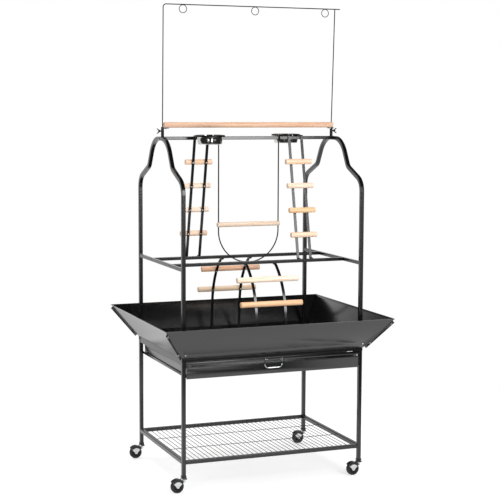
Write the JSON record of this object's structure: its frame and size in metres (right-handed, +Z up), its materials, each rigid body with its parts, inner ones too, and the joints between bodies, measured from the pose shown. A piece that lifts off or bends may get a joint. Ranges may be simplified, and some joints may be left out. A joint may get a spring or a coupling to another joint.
{
  "type": "parrot play stand",
  "caption": "Wheeled play stand for a parrot: tube frame with seed skirt, droppings drawer, shelf, ladders, swing, feeding cups and a wire frame for hanging toys.",
  "frame": {"origin": "on the floor under the stand's middle, midway between the four legs", "axes": "+X right along the long front, +Y to the back, +Z up; the drawer opens to the front, -Y"},
  "size_m": [0.9384, 0.751, 1.852],
  "materials": {
    "frame_coat": "black hammertone powder coat, half gloss",
    "sheet_coat": "charcoal hammertone powder coat on sheet, satin",
    "wire_coat": "dark powder coat on wire, half gloss",
    "swing_steel": "dark powder coat on wire, half gloss",
    "handle_chrome": "bright plated wire",
    "screw_steel": "zinc plated",
    "caster_zinc": "zinc plated pressed steel with a black hood",
    "caster_rubber": "hard black rubber tread",
    "collar_plastic": "moulded black",
    "cup_steel": "polished stainless sheet",
    "perch_wood": "sanded bare hardwood dowel"
  },
  "bodies": {
    "stand_frame": {"caster_collars": "collar_plastic", "leg_front_left": "frame_coat", "leg_front_right": "frame_coat", "leg_back_left": "frame_coat", "leg_back_right": "frame_coat", "shelf_rail_front": "frame_coat", "table_rail_front": "frame_coat", "skirt_front": "sheet_coat", "shelf_rail_back": "frame_coat", "table_rail_back": "frame_coat", "skirt_back": "sheet_coat", "shelf_rail_left": "frame_coat", "table_rail_left": "frame_coat", "skirt_left": "sheet_coat", "shelf_rail_right": "frame_coat", "table_rail_right": "frame_coat", "skirt_right": "sheet_coat", "shelf_grid": "wire_coat", "drawer_runner_left": "sheet_coat", "drawer_runner_right": "sheet_coat", "skirt_screws": "screw_steel", "frame_screws": "screw_steel", "arch_left": "frame_coat", "side_bar_left": "frame_coat", "hanger_socket_left": "frame_coat", "cup_ring_left": "wire_coat", "arch_right": "frame_coat", "side_bar_right": "frame_coat", "hanger_socket_right": "frame_coat", "cup_ring_right": "wire_coat", "long_bar_front": "frame_coat", "long_bar_back": "frame_coat", "top_beam": "frame_coat", "top_perch": "perch_wood", "ladder_lower_back_rails": "frame_coat", "ladder_lower_back_rungs": "perch_wood", "ladder_lower_front_rails": "frame_coat", "ladder_lower_front_rungs": "perch_wood"},
    "drawer": {"drawer_pan": "sheet_coat", "drawer_pull_strip": "sheet_coat"},
    "handle": {"drawer_handle": "handle_chrome"},
    "caster_front_left": {"caster_fork_front_left": "caster_zinc"},
    "wheel_front_left": {"caster_wheel_front_left": "caster_rubber"},
    "caster_front_right": {"caster_fork_front_right": "caster_zinc"},
    "wheel_front_right": {"caster_wheel_front_right": "caster_rubber"},
    "caster_back_left": {"caster_fork_back_left": "caster_zinc"},
    "wheel_back_left": {"caster_wheel_back_left": "caster_rubber"},
    "caster_back_right": {"caster_fork_back_right": "caster_zinc"},
    "wheel_back_right": {"caster_wheel_back_right": "caster_rubber"},
    "swing": {"swing_wire": "swing_steel", "swing_perch": "perch_wood"},
    "hanger": {"toy_hanger": "wire_coat"},
    "bolt_left": {"wing_bolt_left": "wire_coat"},
    "feeding_cup_left": {"cup_left": "cup_steel"},
    "upper_ladder_left": {"ladder_upper_left_rails": "frame_coat", "ladder_upper_left_rungs": "perch_wood"},
    "bolt_right": {"wing_bolt_right": "wire_coat"},
    "feeding_cup_right": {"cup_right": "cup_steel"},
    "upper_ladder_right": {"ladder_upper_right_rails": "frame_coat", "ladder_upper_right_rungs": "perch_wood"}
  },
  "joints": [
    {"name": "drawer_slide", "type": "slide", "parent": "stand_frame", "child": "drawer", "axis": [0, -1, 0], "range_m": [0, 0.4]},
    {"name": "handle_swing", "type": "hinge", "parent": "drawer", "child": "handle", "pos_m": [-0.0062, -0.2875, 0.4924], "axis": [-1, 0, 0], "range_deg": [0, 90]},
    {"name": "swivel_front_left", "type": "hinge", "parent": "stand_frame", "child": "caster_front_left", "pos_m": [-0.3675, -0.275, 0.05], "axis": [0, 0, 1], "continuous": true},
    {"name": "roll_front_left", "type": "hinge", "parent": "caster_front_left", "child": "wheel_front_left", "pos_m": [-0.39387, -0.2762, 0.0254], "axis": [-0.0454, 0.999, 0], "continuous": true},
    {"name": "swivel_front_right", "type": "hinge", "parent": "stand_frame", "child": "caster_front_right", "pos_m": [0.3675, -0.275, 0.05], "axis": [0, 0, 1], "continuous": true},
    {"name": "roll_front_right", "type": "hinge", "parent": "caster_front_right", "child": "wheel_front_right", "pos_m": [0.34113, -0.2762, 0.0254], "axis": [-0.0454, 0.999, 0], "continuous": true},
    {"name": "swivel_back_left", "type": "hinge", "parent": "stand_frame", "child": "caster_back_left", "pos_m": [-0.3675, 0.275, 0.05], "axis": [0, 0, 1], "continuous": true},
    {"name": "roll_back_left", "type": "hinge", "parent": "caster_back_left", "child": "wheel_back_left", "pos_m": [-0.39387, 0.2738, 0.0254], "axis": [-0.0454, 0.999, 0], "continuous": true},
    {"name": "swivel_back_right", "type": "hinge", "parent": "stand_frame", "child": "caster_back_right", "pos_m": [0.3675, 0.275, 0.05], "axis": [0, 0, 1], "continuous": true},
    {"name": "roll_back_right", "type": "hinge", "parent": "caster_back_right", "child": "wheel_back_right", "pos_m": [0.34113, 0.2738, 0.0254], "axis": [-0.0454, 0.999, 0], "continuous": true},
    {"name": "swing_swing", "type": "hinge", "parent": "stand_frame", "child": "swing", "pos_m": [0, 0, 1.334], "axis": [1, 0, 0], "range_deg": [-10, 10]},
    {"name": "hanger_lift", "type": "slide", "parent": "stand_frame", "child": "hanger", "axis": [0, 0, 1], "range_m": [0, 0.035]},
    {"name": "bolt_turn_left", "type": "hinge", "parent": "stand_frame", "child": "bolt_left", "pos_m": [-0.366, 0, 1.362], "axis": [-1, 0, 0], "continuous": true},
    {"name": "bolt_turn_right", "type": "hinge", "parent": "stand_frame", "child": "bolt_right", "pos_m": [0.366, 0, 1.362], "axis": [1, 0, 0], "continuous": true},
    {"name": "cup_lift_left", "type": "slide", "parent": "stand_frame", "child": "feeding_cup_left", "axis": [0, 0, 1], "range_m": [0, 0.026]},
    {"name": "cup_lift_right", "type": "slide", "parent": "stand_frame", "child": "feeding_cup_right", "axis": [0, 0, 1], "range_m": [0, 0.06]},
    {"name": "upper_ladder_lift_left", "type": "slide", "parent": "stand_frame", "child": "upper_ladder_left", "axis": [0, 0, 1], "range_m": [0, 0.018]},
    {"name": "upper_ladder_lift_right", "type": "slide", "parent": "stand_frame", "child": "upper_ladder_right", "axis": [0, 0, 1], "range_m": [0, 0.018]}
  ]
}
